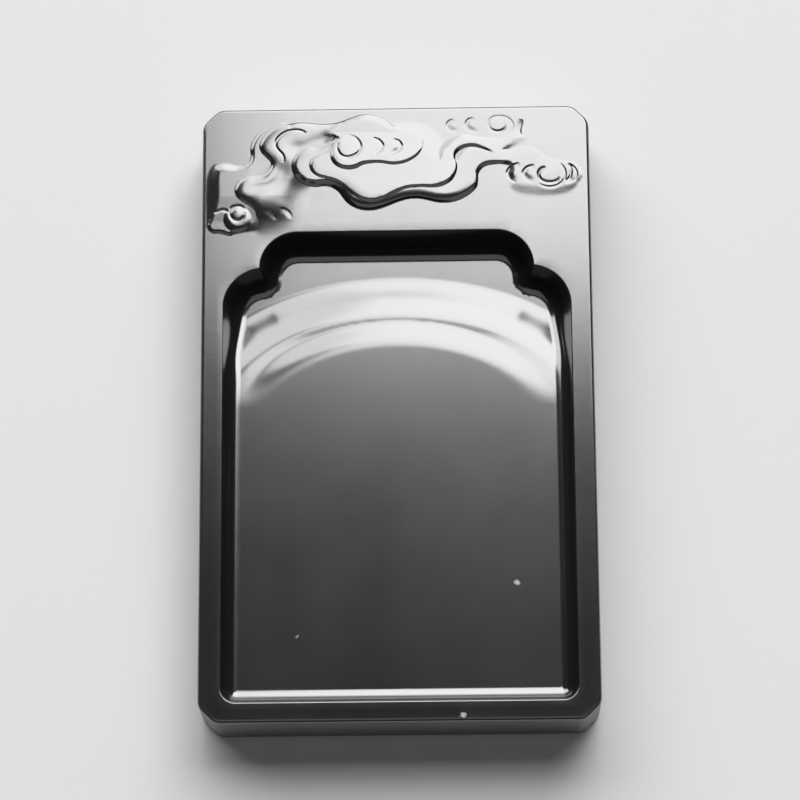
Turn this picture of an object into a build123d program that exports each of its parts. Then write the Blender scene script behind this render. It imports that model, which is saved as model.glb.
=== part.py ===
"""Ink stone: one block of slate-like stone, carved and hollowed, lying flat on its underside.

The origin is at the middle of the underside. X runs across the stone, Y runs along it towards the
carved head end, and Z points up. All sizes are in millimetres.
"""

import os
from math import cos, pi, sqrt

from build123d import *

# The block
STONE_WIDTH = 130.0
STONE_LENGTH = 210.0
STONE_THICKNESS = 25.0
CORNER_CUT = 5.5
CORNER_SOFTENING = 5.0
FACE_EDGE_CHAMFER = 0.8
UNDERSIDE_CHAMFER = 1.0

# The hollow, seen from above
SIDE_RIM = 7.25
FOOT_RIM = 6.7
FOREHEAD_LENGTH = 44.0
NOTCH_STEP = 12.15
HEAD_ARC_RADIUS = 12.6
SHOULDER_ARC_RADIUS = 13.8
FOOT_CORNER_RADIUS = 5.0
CUSP_RADIUS = 0.5

# The hollow, in section
GRINDING_DEPTH = 7.0
POOL_DEPTH = 12.0
WALL_DRAFT = 18.0
WALL_FOOT_RADIUS = 4.5
LIP_CHAMFER = 0.3

# The arched edge of the grinding floor, and the two swells by which it falls to the ink pool
ARCH_HALF_WIDTH = 50.0
ARCH_RISE = 31.5
ARCH_SPRING_FROM_HEAD = 107.0
UPPER_SWELL_DROP = 1.2
UPPER_SWELL_START = -3.2
UPPER_SWELL_END = 3.4
LOWER_SWELL_START = 5.0
LOWER_SWELL_END = 16.0
CHANNEL_FADE_START = -20.0
CHANNEL_FADE_END = 10.0
# The floor surface runs on past the walls that trim it, and holds to points this far apart
FLOOR_OVERRUN = 3.0
FLOOR_POINT_STEP = 3.0
FLOOR_TOLERANCE = 0.05

# The carving on the forehead: a square field of this size holds all its shares
CARVING_SPAN = 100.0
CARVING_REACH = 45.0
CARVING_ROOT = 1.0
EDGE_FOOT_SINK = 0.1
LIMB_RISE = 1.0
LIMB_EDGE_WIDTH = 0.8
LIMB_DISH_WIDTH = 10.0
LIMB_DISH_LEAN = 8.0
LIMB_DISH_CLIMB = 2.5
LIMB_DISH_SINK = 0.2
TAIL_RISE = 0.6
TAIL_EDGE_WIDTH = 0.6
BODY_RISE = 1.1
BODY_EDGE_WIDTH = 1.0
INNER_CLOUD_RISE = 1.4
INNER_CLOUD_EDGE_WIDTH = 0.8
HEAD_RISE = 1.8
HEAD_EDGE_WIDTH = 0.8
CURL_RADIUS = 3.0
CURL_CROWN = 0.3

# Outlines of the carving, from its base line on the middle of the stone: across, then along
TAIL_SHARES = [
    (-0.385, 0.392),
    (-0.420, 0.386),
    (-0.455, 0.365),
    (-0.475, 0.340),
    (-0.485, 0.310),
    (-0.483, 0.280),
    (-0.490, 0.260),
    (-0.510, 0.249),
    (-0.550, 0.253),
    (-0.585, 0.260),
    (-0.613, 0.243),
    (-0.626, 0.205),
    (-0.628, 0.130),
    (-0.628, 0.065),
    (-0.615, 0.032),
    (-0.585, 0.022),
    (-0.550, 0.012),
    (-0.510, 0.010),
    (-0.470, 0.030),
    (-0.445, 0.080),
    (-0.450, 0.170),
    (-0.400, 0.240),
    (-0.400, 0.310),
    (-0.380, 0.345),
    (-0.355, 0.378),
]
LIMB_SHARES = [
    (-0.340, 0.394),
    (-0.370, 0.389),
    (-0.400, 0.380),
    (-0.430, 0.360),
    (-0.450, 0.335),
    (-0.453, 0.310),
    (-0.448, 0.290),
    (-0.430, 0.273),
    (-0.418, 0.256),
    (-0.418, 0.240),
    (-0.430, 0.220),
    (-0.447, 0.208),
    (-0.470, 0.203),
    (-0.500, 0.200),
    (-0.523, 0.185),
    (-0.535, 0.160),
    (-0.530, 0.140),
    (-0.515, 0.125),
    (-0.490, 0.110),
    (-0.475, 0.098),
    (-0.467, 0.075),
    (-0.450, 0.045),
    (-0.410, 0.035),
    (-0.370, 0.050),
    (-0.345, 0.110),
    (-0.340, 0.200),
    (-0.330, 0.280),
    (-0.290, 0.330),
    (-0.250, 0.360),
    (-0.270, 0.387),
]
BODY_SHARES = [
    (-0.240, 0.303),
    (-0.300, 0.298),
    (-0.333, 0.272),
    (-0.343, 0.245),
    (-0.335, 0.212),
    (-0.310, 0.184),
    (-0.280, 0.172),
    (-0.225, 0.175),
    (-0.188, 0.150),
    (-0.160, 0.112),
    (-0.115, 0.089),
    (-0.060, 0.090),
    (-0.010, 0.110),
    (0.040, 0.125),
    (0.100, 0.122),
    (0.160, 0.110),
    (0.220, 0.123),
    (0.265, 0.158),
    (0.273, 0.210),
    (0.300, 0.239),
    (0.350, 0.244),
    (0.362, 0.215),
    (0.370, 0.180),
    (0.410, 0.160),
    (0.500, 0.148),
    (0.590, 0.152),
    (0.622, 0.185),
    (0.618, 0.215),
    (0.590, 0.240),
    (0.565, 0.225),
    (0.545, 0.243),
    (0.510, 0.253),
    (0.490, 0.272),
    (0.460, 0.294),
    (0.420, 0.299),
    (0.370, 0.287),
    (0.330, 0.300),
    (0.250, 0.318),
    (0.180, 0.290),
    (0.150, 0.230),
    (0.000, 0.220),
    (-0.120, 0.240),
    (-0.180, 0.290),
]
INNER_CLOUD_SHARES = [
    (-0.210, 0.290),
    (-0.255, 0.278),
    (-0.281, 0.255),
    (-0.278, 0.225),
    (-0.245, 0.203),
    (-0.195, 0.183),
    (-0.155, 0.154),
    (-0.120, 0.140),
    (-0.080, 0.133),
    (-0.040, 0.130),
    (0.000, 0.145),
    (0.040, 0.159),
    (0.090, 0.163),
    (0.140, 0.162),
    (0.180, 0.180),
    (0.203, 0.220),
    (0.200, 0.270),
    (0.212, 0.294),
    (0.250, 0.306),
    (0.300, 0.294),
    (0.350, 0.282),
    (0.390, 0.300),
    (0.385, 0.330),
    (0.330, 0.330),
    (0.270, 0.337),
    (0.230, 0.343),
    (0.190, 0.334),
    (0.155, 0.305),
    (0.110, 0.315),
    (0.000, 0.320),
    (-0.120, 0.320),
]
HEAD_SHARES = [
    (-0.310, 0.391),
    (-0.270, 0.394),
    (-0.220, 0.391),
    (-0.180, 0.399),
    (-0.130, 0.418),
    (-0.085, 0.423),
    (-0.045, 0.411),
    (-0.015, 0.384),
    (0.015, 0.366),
    (0.055, 0.361),
    (0.080, 0.346),
    (0.090, 0.315),
    (0.080, 0.285),
    (0.045, 0.259),
    (0.000, 0.248),
    (-0.050, 0.253),
    (-0.095, 0.252),
    (-0.130, 0.237),
    (-0.170, 0.232),
    (-0.203, 0.251),
    (-0.214, 0.280),
    (-0.205, 0.310),
    (-0.235, 0.332),
    (-0.275, 0.348),
    (-0.318, 0.370),
]
LIMB_DISH_SHARE = (-0.330, 0.200)
HEAD_CURL_SHARE = (-0.164, 0.310)
UPPER_CURL_SHARE = (0.345, 0.383)
RIGHT_CURL_SHARE = (0.520, 0.207)
LEFT_CURL_SHARE = (-0.535, 0.073)

foot_y = -STONE_LENGTH / 2
head_y = STONE_LENGTH / 2
lip_x = STONE_WIDTH / 2 - SIDE_RIM
lip_foot_y = foot_y + FOOT_RIM
lip_head_y = head_y - FOREHEAD_LENGTH
cusp_x = lip_x - NOTCH_STEP
cusp_y = lip_head_y - HEAD_ARC_RADIUS
shoulder_y = cusp_y - sqrt(SHOULDER_ARC_RADIUS**2 - (SHOULDER_ARC_RADIUS - NOTCH_STEP) ** 2)
arch_y = head_y - ARCH_SPRING_FROM_HEAD
carving_base_y = head_y - CARVING_REACH


def swell(way):
    """A smooth step from 0 to 1 as way goes from 0 to 1."""
    way = min(max(way, 0), 1)
    return (1 - cos(pi * way)) / 2


def past_arch(x, y):
    """Roughly how far a place on the floor lies beyond the arched edge of the grinding floor."""
    across = abs(x) / ARCH_HALF_WIDTH
    along = max(y - arch_y, 0) / ARCH_RISE
    reach = sqrt(across**2 + along**2)
    if reach == 0:
        return -ARCH_RISE
    return (reach - 1) * reach / sqrt((across / ARCH_HALF_WIDTH) ** 2 + (along / ARCH_RISE) ** 2)


def floor_height(x, y):
    """The height of the hollow's floor: level, then falling by two swells to the ink pool."""
    past = past_arch(x, y)
    fade_length = CHANNEL_FADE_END - CHANNEL_FADE_START
    fade = swell((y - arch_y - CHANNEL_FADE_START) / fade_length)
    upper = swell((past - UPPER_SWELL_START) / (UPPER_SWELL_END - UPPER_SWELL_START))
    lower = swell((past - LOWER_SWELL_START) / (LOWER_SWELL_END - LOWER_SWELL_START))
    lower_drop = POOL_DEPTH - GRINDING_DEPTH - UPPER_SWELL_DROP
    drop = fade * (UPPER_SWELL_DROP * upper + lower_drop * lower)
    return STONE_THICKNESS - GRINDING_DEPTH - drop


def carving_point(share):
    """A place on the forehead, from its shares of the carving's field."""
    return (share[0] * CARVING_SPAN, carving_base_y + share[1] * CARVING_SPAN)


def raised_cloud(outline_shares, rise, edge_width):
    """A flat cloud form on the forehead, whose edge slopes down to a foot just below the face."""
    with BuildPart() as cloud:
        with BuildSketch(Plane.XY.offset(STONE_THICKNESS - CARVING_ROOT)):
            with BuildLine():
                Spline(*[carving_point(share) for share in outline_shares], periodic=True)
            make_face()
        extrude(amount=CARVING_ROOT + rise)
        top = cloud.faces().sort_by(Axis.Z)[-1]
        chamfer(top.edges(), edge_width, rise + EDGE_FOOT_SINK, reference=top)
    return cloud.part


def domed_eye(share, rise):
    """The low dome at the middle of a curl, turned about its own upright axis."""
    x, y = carving_point(share)
    dome_radius = (CURL_RADIUS**2 + CURL_CROWN**2) / (2 * CURL_CROWN)
    with BuildPart() as eye:
        with BuildSketch(Plane.XZ.offset(-y)):
            with BuildLine():
                foot = (x + CURL_RADIUS, STONE_THICKNESS + rise)
                crown = (x, STONE_THICKNESS + rise + CURL_CROWN)
                root_z = STONE_THICKNESS - CARVING_ROOT
                RadiusArc(foot, crown, -dome_radius)
                Polyline(crown, (x, root_z), (x + CURL_RADIUS, root_z), foot)
            make_face()
        revolve(axis=Axis((x, y, 0), (0, 0, 1)))
    return eye.part


# The hollow is drawn upside down, because its walls lean in as they go up there, and turned over
with BuildPart() as walls:
    with BuildSketch(Plane.XY.offset(-STONE_THICKNESS)) as lip:
        with BuildLine():
            Line((0, lip_foot_y), (lip_x, lip_foot_y))
            Line((lip_x, lip_foot_y), (lip_x, shoulder_y))
            RadiusArc((lip_x, shoulder_y), (cusp_x, cusp_y), -SHOULDER_ARC_RADIUS)
            RadiusArc((cusp_x, cusp_y), (cusp_x - HEAD_ARC_RADIUS, lip_head_y), -HEAD_ARC_RADIUS)
            Line((cusp_x - HEAD_ARC_RADIUS, lip_head_y), (0, lip_head_y))
            mirror(about=Plane.YZ)
        make_face()
        cusps = lip.vertices().filter_by(lambda vertex: abs(vertex.Y - cusp_y) < CUSP_RADIUS)
        fillet(cusps, CUSP_RADIUS)
    extrude(amount=POOL_DEPTH + WALL_FOOT_RADIUS, taper=WALL_DRAFT)
    mirror(about=Plane.XY, mode=Mode.REPLACE)

# The floor surface, with the stone below it
half_width = lip_x + FLOOR_OVERRUN
floor_length = lip_head_y - lip_foot_y + 2 * FLOOR_OVERRUN
columns = round(2 * half_width / FLOOR_POINT_STEP)
rows = round(floor_length / FLOOR_POINT_STEP)
floor_points = []
for row in range(rows + 1):
    y = lip_foot_y - FLOOR_OVERRUN + floor_length * row / rows
    xs = [half_width * (2 * column / columns - 1) for column in range(columns + 1)]
    floor_points.append([(x, y, floor_height(x, y)) for x in xs])
floor = Face.make_surface_from_array_of_points(floor_points, tol=FLOOR_TOLERANCE, min_deg=3)
with BuildPart() as below_floor:
    extrude(floor, amount=STONE_THICKNESS, dir=(0, 0, -1))

# The hollow
with BuildPart() as hollow:
    add(walls.part)
    add(below_floor.part, mode=Mode.SUBTRACT)
    sloping = hollow.edges().filter_by(GeomType.LINE).filter_by(Plane.XY, reverse=True)
    fillet(sloping.group_by(Axis.Y)[0], FOOT_CORNER_RADIUS)
    fillet(hollow.faces().sort_by(Axis.Z)[0].edges(), WALL_FOOT_RADIUS)

# The cloud carving, from the lowest form to the highest
tail = raised_cloud(TAIL_SHARES, TAIL_RISE, TAIL_EDGE_WIDTH)
limb = raised_cloud(LIMB_SHARES, LIMB_RISE, LIMB_EDGE_WIDTH)
body = raised_cloud(BODY_SHARES, BODY_RISE, BODY_EDGE_WIDTH)
inner_cloud = raised_cloud(INNER_CLOUD_SHARES, INNER_CLOUD_RISE, INNER_CLOUD_EDGE_WIDTH)
head = raised_cloud(HEAD_SHARES, HEAD_RISE, HEAD_EDGE_WIDTH)

# The limb's inner side is dished, so that it runs out level with the face
dish_radius = (LIMB_DISH_WIDTH**2 + LIMB_RISE**2) / (2 * LIMB_RISE)
dish_x, dish_y = carving_point(LIMB_DISH_SHARE)
with BuildPart() as dished_limb:
    add(limb)
    with Locations((dish_x, dish_y, STONE_THICKNESS - LIMB_DISH_SINK + dish_radius)):
        Cylinder(
            dish_radius,
            CARVING_SPAN,
            rotation=(LIMB_DISH_CLIMB - 90, 0, -LIMB_DISH_LEAN),
            mode=Mode.SUBTRACT,
        )

head_eye = domed_eye(HEAD_CURL_SHARE, HEAD_RISE)
upper_eye = domed_eye(UPPER_CURL_SHARE, 0)
right_eye = domed_eye(RIGHT_CURL_SHARE, BODY_RISE)
left_eye = domed_eye(LEFT_CURL_SHARE, TAIL_RISE)

with BuildPart() as stone:
    with BuildSketch() as footprint:
        Rectangle(STONE_WIDTH, STONE_LENGTH)
        chamfer(footprint.vertices(), CORNER_CUT)
        fillet(footprint.vertices(), CORNER_SOFTENING)
    extrude(amount=STONE_THICKNESS)
    chamfer(stone.edges().group_by(Axis.Z)[-1], FACE_EDGE_CHAMFER)
    chamfer(stone.edges().group_by(Axis.Z)[0], UNDERSIDE_CHAMFER)
    add(hollow.part, mode=Mode.SUBTRACT)
    lip_edges = stone.faces().sort_by(Axis.Z)[-1].inner_wires()[0].edges()
    chamfer(lip_edges, LIP_CHAMFER)
    for form in (tail, dished_limb.part, body, inner_cloud, head):
        add(form)
    for eye in (head_eye, upper_eye, right_eye, left_eye):
        add(eye)

os.makedirs("parts", exist_ok=True)
stone.part.label = "stone"
export_step(stone.part, "parts/stone.step")
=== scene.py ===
"""Looks of the ink stone: one block of dark slate, hollowed, carved with clouds and sanded.

All sizes are in metres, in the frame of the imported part: X across the stone, Y along it towards
the carved forehead, Z up, with the origin at the middle of the underside.
"""

from math import atan2, cos, hypot, pi, radians, sin, sqrt, tan

import bpy
import numpy as np
from mathutils import Matrix, Vector, geometry


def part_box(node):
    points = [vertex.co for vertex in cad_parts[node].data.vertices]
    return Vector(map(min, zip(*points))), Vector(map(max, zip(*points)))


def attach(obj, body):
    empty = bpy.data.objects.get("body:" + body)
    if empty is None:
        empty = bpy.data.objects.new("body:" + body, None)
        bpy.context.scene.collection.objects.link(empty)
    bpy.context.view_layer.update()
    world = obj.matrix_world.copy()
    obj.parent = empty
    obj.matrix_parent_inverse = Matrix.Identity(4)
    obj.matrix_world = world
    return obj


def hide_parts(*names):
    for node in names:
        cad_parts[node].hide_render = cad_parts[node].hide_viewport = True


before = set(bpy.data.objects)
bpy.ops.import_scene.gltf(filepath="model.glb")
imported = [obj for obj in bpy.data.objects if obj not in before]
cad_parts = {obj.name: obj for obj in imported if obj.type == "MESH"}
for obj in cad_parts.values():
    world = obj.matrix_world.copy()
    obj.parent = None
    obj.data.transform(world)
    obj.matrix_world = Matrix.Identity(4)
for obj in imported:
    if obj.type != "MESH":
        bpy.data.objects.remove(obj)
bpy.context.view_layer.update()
stone_low, stone_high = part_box("stone")

# The block
STONE_WIDTH = stone_high.x - stone_low.x
STONE_LENGTH = stone_high.y - stone_low.y
STONE_THICKNESS = 0.025
CORNER_CUT = 0.0055
CORNER_SOFTENING = 0.005
FACE_EDGE_ROUND = 0.0012
UNDERSIDE_CHAMFER = 0.001

# The hollow, seen from above
SIDE_RIM = 0.00725
FOOT_RIM = 0.0067
FOREHEAD_LENGTH = 0.044
NOTCH_STEP = 0.01215
HEAD_ARC_RADIUS = 0.0126
SHOULDER_ARC_RADIUS = 0.0138
FOOT_CORNER_RADIUS = 0.005
CUSP_RADIUS = 0.0005

# The hollow, in section
GRINDING_DEPTH = 0.007
POOL_DEPTH = 0.012
WALL_DRAFT = radians(18)
WALL_FOOT_RADIUS = 0.0045
LIP_ROUND = 0.0004

# The arched edge of the grinding floor, and the two swells by which it falls to the ink pool
ARCH_HALF_WIDTH = 0.05
ARCH_RISE = 0.0315
ARCH_SPRING_FROM_HEAD = 0.107
UPPER_SWELL_DROP = 0.0012
UPPER_SWELL_LOSS = 0.25
UPPER_SWELL = (-0.0075, 0.0028)
LOWER_SWELL = (0.0036, 0.019)
# How much later the lower swell starts and ends at the sides than in the middle
SETBACK = (0.0025, 0.002)
CHANNEL_FADE = (0.004, 0.03)

# The carving's places are shares of this span, across from the stone's middle line and along
# from a base line this far from the head end
CARVING_SPAN = 0.1
CARVING_REACH = 0.045
# The widest step at a cloud's edge, as a share. Where an outline has more, the form fades out
WIDEST_EDGE = 0.024
FADE_REACH = 0.013
WIDTH_BLEND = 0.0003
BLEND_STRIDE = 4
NARROWEST_EDGE = 0.0002
# How far outside its outline a cloud's points are still measured
OUTLINE_MARGIN = 0.001
# How many widths to either side a ridge or a cut line is measured, and how full a crescent is
LINE_REACH = 4
CRESCENT_FULLNESS = 0.7
LINE_STEPS = 8

# How far apart the points of the mesh lie, before the level parts are thinned
CARVING_STEP = 0.0002
RIM_STEP = 0.004
FLOOR_STEP = 0.002
ARCH_STEP = 0.0007
LIP_STEP = 0.0012
LIP_MARGIN = 0.0006
MERGE_DISTANCE = 1e-7
FEWEST_ARC_STEPS = 6
# How far from the lip its distance is measured
LIP_REACH = 0.02
# How far in from the lip the floor's depth is read, for the rows of points down the wall
DEPTH_PROBE = 0.005
# How far a row's point may lie from its true distance to the lip, before it is left out
ROW_SLACK = 0.00003
# Where the rows lie on the lip's round, on the wall and on its rounded foot, as shares
LIP_ROWS = (0, 0.4, 0.7, 0.9, 1)
WALL_ROWS = (1 / 3, 2 / 3, 1)
WALL_FOOT_ROWS = (0.04, 0.1, 0.18, 0.28, 0.4, 0.54, 0.7, 0.85, 1)
# How far before and past the arched edge the floor's points lie close
ARCH_BEND = (-0.008, 0.024)
# Every how many places of the carving's lattice a point is kept, and from which bend on
CARVING_KEEPS = ((1, 8e-6), (2, 1.6e-6), (4, 4e-7), (8, 1e-7), (16, -1))
CORNER_TURNS = 6
# How far the carving's points run down past the head end of the lip
CARVING_DROP = 0.003
EDGE_TURNS = 5
# How far apart two places are when the slope between them is read
FACING_STEP = 0.00002
# Keeps a division from meeting a nought
TINY = 1e-9
# The finishes, in the order of the stone's materials
SANDED, GROUND, SAWN = range(3)
STONE_IOR = 2.3
# How bright the room is in the stone's sheen, and behind the stone in the picture
ROOM_GLOW = 0.01
BACKDROP_GLOW = 0.8
# How much a crest of the carving bends between two places before it takes the full wear and
# painted highlight
CREST_BEND = 0.00008
# How much lighter the edges and crests are painted: partly wear, partly painted highlight
WEAR_AND_HIGHLIGHT_BRIGHTNESS = 2
# The darker and the lighter tone of the slate where it is smooth, and where it is sawn
SLATE_DARK = (.007, .007, .0073)
SLATE_LIGHT = (.014, .014, .0145)
SAWN_DARK = (.03, .03, .031)
SAWN_LIGHT = (.05, .05, .052)
# How much wear and painted highlight the ring round the flat face takes, and the sides and the
# underside's chamfer
EDGE_WEAR_AND_HIGHLIGHT = 0.3
SIDE_WEAR_AND_HIGHLIGHT = 0.4
# The sizes of the grain, of its clouded tone, of the sanding marks and of their patches
GRAIN_SIZE = 0.0007
CLOUDING_SIZE = 0.03
MARK_WIDTH = 0.00035
MARK_PATCH_SIZE = 0.012
WEAR_PATCH_SIZE = 0.003
FLECK_RAGGEDNESS_SIZE = 0.0008
NOISE_ROUGHNESS = 0.6
# How much of the clouded tone is fine grain, and of the roughness is tone
GRAIN_SHARE = 0.45
TONE_SHARE = 0.6
FLECK_COLOR = (0.32, 0.31, 0.28)
FLECK_ROUGHNESS = 0.6
FACE_FLECKS = (((0.0205, -0.103), 0.0009),)
FLOOR_FLECKS = (
    ((-0.0295, 0.0375), 0.0006),
    ((-0.035, 0.019), 0.0005),
    ((-0.033, -0.0755), 0.0005),
    ((0.0385, -0.0583), 0.0008),
)

head_y = STONE_LENGTH / 2
foot_y = -STONE_LENGTH / 2
lip_x = STONE_WIDTH / 2 - SIDE_RIM
lip_foot_y = foot_y + FOOT_RIM
lip_head_y = head_y - FOREHEAD_LENGTH
cusp_x = lip_x - NOTCH_STEP
cusp_y = lip_head_y - HEAD_ARC_RADIUS
shoulder_y = cusp_y - sqrt(SHOULDER_ARC_RADIUS**2 - (SHOULDER_ARC_RADIUS - NOTCH_STEP) ** 2)
arch_y = head_y - ARCH_SPRING_FROM_HEAD
carving_base_y = head_y - CARVING_REACH
wall_lean = tan(WALL_DRAFT)
# How far the rounded foot of the wall and the round of the lip reach past their corners
foot_reach = WALL_FOOT_RADIUS * tan((pi / 2 - WALL_DRAFT) / 2)
lip_start = LIP_ROUND * tan((pi / 2 - WALL_DRAFT) / 2)
lip_end = lip_start * sin(WALL_DRAFT)
# The reach of the flat face inside its rounded edge, and the same across its cut corners
face_x = STONE_WIDTH / 2 - FACE_EDGE_ROUND
face_y = head_y - FACE_EDGE_ROUND
face_cut = (STONE_WIDTH + STONE_LENGTH) / 2 - CORNER_CUT - FACE_EDGE_ROUND * sqrt(2)

# Outlines of the clouds, from the lowest to the highest. Each place has its share across and
# along, the width of the edge there, and how softly the form runs out behind that edge
TAIL_CLOUD = [
    (-.36, .394, .008, 0), (-.385, .397, .008, 0), (-.42, .388, .008, 0), (-.456, .366, .01, 0),
    (-.477, .34, .012, 0), (-.487, .31, .013, 0), (-.486, .28, .012, 0), (-.491, .26, .01, 0),
    (-.51, .249, .014, 0), (-.535, .252, .026, 0), (-.56, .26, .034, 0), (-.59, .263, .036, 0),
    (-.615, .256, .045, 0), (-.636, .22, .055, 0), (-.644, .17, .06, 0), (-.644, .11, .06, 0),
    (-.64, .075, .04, 0), (-.634, .048, .014, 0), (-.629, .024, .013, 0), (-.613, .01, .014, 0),
    (-.595, .01, .014, 0), (-.58, .007, .014, 0), (-.56, .001, .014, 0), (-.54, .002, .02, 0),
    (-.5, .006, .035, 0), (-.45, .006, .06, 0), (-.4, .008, .07, 0), (-.36, .02, .07, 0),
    (-.33, .06, .07, 0), (-.34, .14, .06, 0), (-.37, .22, .05, 0), (-.38, .3, .04, 0),
    (-.35, .36, .02, 0),
]
LIMB_CLOUD = [
    (-.36, .394, .009, .3), (-.4, .383, .009, .3), (-.43, .363, .01, .3), (-.451, .336, .012, .3),
    (-.457, .312, .014, .3), (-.45, .292, .015, .3), (-.434, .275, .015, .3),
    (-.421, .26, .014, .3), (-.419, .244, .011, .3), (-.427, .226, .008, .3),
    (-.445, .212, .007, .4), (-.47, .208, .007, .4), (-.5, .205, .008, .4),
    (-.526, .191, .01, .3), (-.539, .163, .012, .3), (-.535, .141, .012, .3),
    (-.519, .123, .011, .3), (-.495, .107, .01, .3), (-.478, .094, .009, .3),
    (-.469, .08, .009, .3), (-.468, .06, .014, .1), (-.475, -.02, .05, 0), (-.45, -.06, .09, 0),
    (-.4, -.07, .1, 0), (-.33, -.04, .12, 0), (-.28, .04, .12, 0), (-.28, .1, .11, 0),
    (-.28, .15, .1, 0), (-.26, .18, .08, 0), (-.24, .2, .08, 0), (-.2, .22, .08, 0),
    (-.15, .24, .08, 0), (-.08, .3, .06, 0), (-.08, .36, .04, 0), (-.1, .4, .012, .3),
    (-.15, .405, .007, .3), (-.18, .399, .007, .3), (-.21, .396, .007, .3),
    (-.25, .394, .007, .3), (-.29, .399, .007, .3), (-.33, .4, .007, .3),
]
BODY_CLOUD = [
    (-.21, .33, .008, .3), (-.23, .318, .008, .3), (-.26, .308, .008, .4), (-.3, .305, .008, .4),
    (-.326, .291, .01, .3), (-.342, .268, .014, .2), (-.349, .245, .018, .1),
    (-.344, .218, .022, .1), (-.33, .194, .024, .1), (-.308, .176, .025, .1),
    (-.28, .169, .024, .1), (-.25, .172, .022, .1), (-.225, .171, .022, .1),
    (-.205, .161, .022, .15), (-.189, .147, .022, .25), (-.176, .128, .02, .35),
    (-.161, .11, .018, .4), (-.14, .096, .016, .45), (-.115, .087, .015, .5),
    (-.085, .084, .014, .5), (-.055, .09, .012, .5), (-.02, .103, .01, .4),
    (.01, .115, .009, .35), (.04, .123, .008, .3), (.07, .125, .008, .3), (.1, .12, .008, .3),
    (.13, .112, .009, .35), (.16, .108, .011, .45), (.19, .111, .014, .5), (.22, .121, .018, .45),
    (.25, .14, .019, .3), (.272, .164, .017, .2), (.277, .19, .015, .15), (.278, .21, .015, .1),
    (.288, .227, .015, .1), (.305, .238, .015, .1), (.33, .242, .014, .1), (.355, .243, .013, .1),
    (.376, .232, .024, 0), (.372, .2, .04, 0), (.372, .16, .05, 0), (.4, .13, .06, 0),
    (.445, .12, .06, 0), (.5, .117, .055, 0), (.56, .123, .05, 0), (.606, .146, .04, 0),
    (.628, .185, .02, 0), (.624, .218, .014, .3), (.6, .244, .008, .4), (.576, .25, .007, .4),
    (.55, .253, .007, .4), (.52, .258, .007, .4), (.503, .266, .007, .4), (.488, .281, .007, .4),
    (.468, .296, .007, .4), (.44, .304, .007, .4), (.41, .302, .008, .4), (.38, .294, .012, .3),
    (.34, .31, .03, 0), (.28, .32, .03, 0), (.22, .31, .03, 0), (.15, .24, .03, 0),
    (0, .26, .03, 0), (-.15, .3, .03, 0), (-.19, .33, .012, 0),
]
INNER_CLOUD = [
    (-.205, .316, .008, .3), (-.225, .295, .008, .3), (-.263, .28, .008, .3),
    (-.282, .265, .009, .2), (-.289, .245, .01, .2), (-.283, .223, .01, .2),
    (-.264, .206, .009, .2), (-.237, .197, .009, .2), (-.21, .189, .009, .2),
    (-.187, .175, .01, .3), (-.165, .156, .01, .3), (-.143, .137, .01, .3),
    (-.118, .12, .011, .3), (-.088, .111, .012, .3), (-.06, .114, .011, .3),
    (-.04, .122, .01, .3), (-.02, .133, .01, .3), (0, .143, .01, .3), (.04, .159, .01, .3),
    (.09, .162, .01, .3), (.13, .16, .016, .2), (.17, .17, .04, .1), (.19, .195, .05, 0),
    (.2, .24, .07, 0), (.19, .29, .09, 0), (.16, .34, .1, 0), (.11, .39, .1, 0), (0, .4, .05, 0),
    (-.12, .37, .02, 0), (-.19, .335, .01, .2),
]
STRIP_CLOUD = [
    (-.08, .135, .02, 0), (-.04, .122, .012, .3), (-.02, .133, .01, .4), (0, .143, .01, .4),
    (.025, .155, .01, .4), (.05, .16, .01, .4), (.09, .162, .01, .4), (.13, .16, .01, .4),
    (.16, .167, .011, .4), (.186, .184, .012, .3), (.202, .21, .011, .2), (.207, .235, .01, .2),
    (.203, .26, .011, .2), (.204, .279, .012, .2), (.217, .293, .013, .2), (.24, .302, .013, .2),
    (.265, .303, .012, .2), (.3, .292, .011, .2), (.33, .283, .01, .2), (.355, .281, .01, .2),
    (.385, .29, .03, 0), (.43, .305, .06, 0), (.46, .33, .07, 0), (.44, .36, .05, 0),
    (.402, .368, .02, .2), (.38, .349, .008, .5), (.355, .336, .008, .5), (.32, .335, .008, .6),
    (.27, .342, .008, .6), (.235, .348, .008, .6), (.2, .342, .009, .6), (.17, .325, .01, .6),
    (.15, .306, .012, .6), (.128, .285, .04, 0), (.11, .245, .05, 0), (.09, .22, .05, 0),
    (.07, .205, .04, 0), (.04, .2, .034, 0), (0, .185, .03, 0), (-.05, .156, .024, 0),
]
HEAD_CLOUD = [
    (-.195, .338, .008, .2), (-.208, .318, .008, .2), (-.214, .3, .009, .2),
    (-.218, .275, .01, .2), (-.209, .25, .012, .2), (-.186, .233, .013, .2),
    (-.155, .227, .015, .25), (-.13, .232, .016, .3), (-.11, .243, .014, .2),
    (-.08, .249, .01, .2), (-.05, .249, .009, .2), (-.01, .243, .009, .2), (.024, .247, .009, .2),
    (.051, .258, .009, .2), (.075, .276, .009, .2), (.09, .299, .009, .2), (.094, .32, .009, .3),
    (.087, .344, .009, .4), (.069, .362, .008, .5), (.04, .37, .008, .5), (.01, .375, .008, .5),
    (-.01, .387, .009, .5), (-.03, .406, .009, .5), (-.055, .42, .008, .6),
    (-.09, .428, .006, .6), (-.12, .425, .006, .6), (-.16, .411, .006, .6),
    (-.185, .401, .006, .6), (-.21, .397, .02, .3), (-.25, .39, .06, 0), (-.27, .365, .07, 0),
    (-.235, .342, .04, 0),
]

# The tops of the clouds: two places along the forehead, each with the height above the face
TAIL_TOP = ((.05, .00018), (.14, .0003))
LIMB_TOP = ((.05, .0005), (.14, .00065))
LIMB_TOP_LOSS = ((.2, 0), (.4, .0001))
BODY_TOP = ((.1, .001), (.3, .0007))
INNER_TOP = ((.11, .0014), (.3, .0008))
STRIP_TOP = ((.16, .0013), (.35, .0004))
HEAD_TOP = ((.23, .0015), (.36, .0006))
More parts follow.
